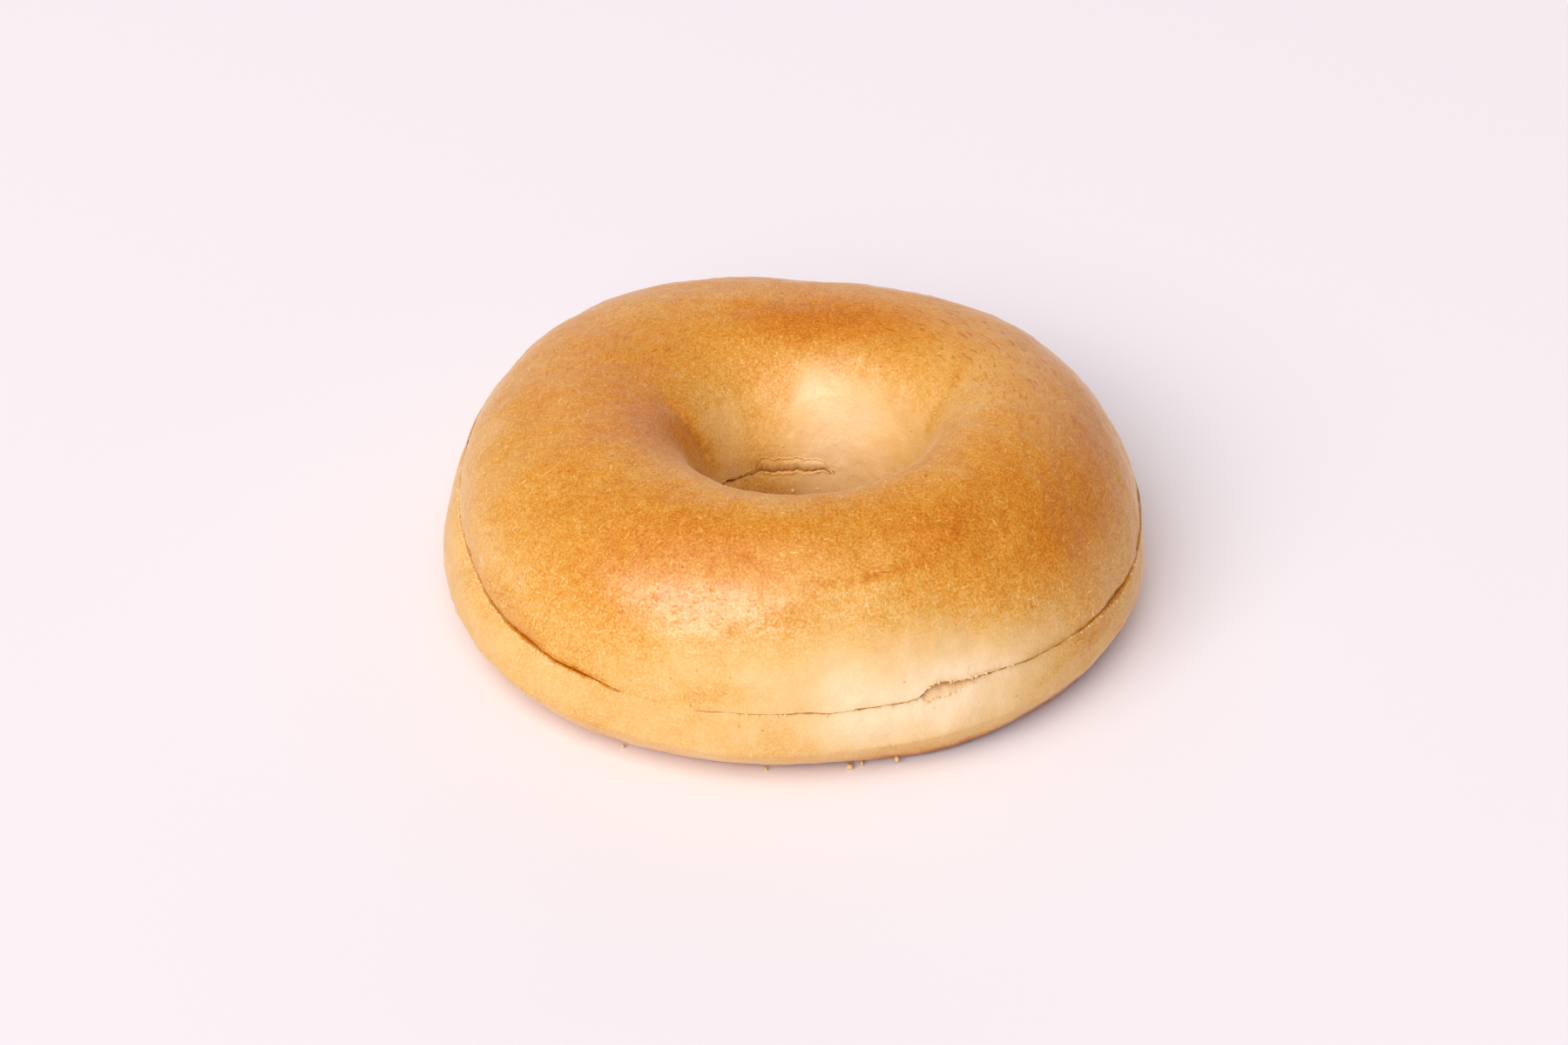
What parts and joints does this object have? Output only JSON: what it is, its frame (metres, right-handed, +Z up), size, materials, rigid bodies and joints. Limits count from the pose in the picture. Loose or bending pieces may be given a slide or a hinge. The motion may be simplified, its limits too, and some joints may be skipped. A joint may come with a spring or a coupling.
{
  "type": "bagel",
  "caption": "Plain round bagel with a through hole, a browned crust and a knife slit round its side that stops at an uncut bridge.",
  "frame": {"origin": "middle of the bagel's box, on the surface it lies on", "axes": "+Z up through the hole; +X to the right and -Y to the front, where the uncut bridge of the slit is at the front left"},
  "size_m": [0.1098, 0.1072, 0.0371],
  "materials": {
    "crust": "baked bread crust: golden brown on top, pale cream at the sides and in the hole, with a satin sheen"
  },
  "bodies": {
    "root": {"bagel": "crust"}
  },
  "joints": []
}
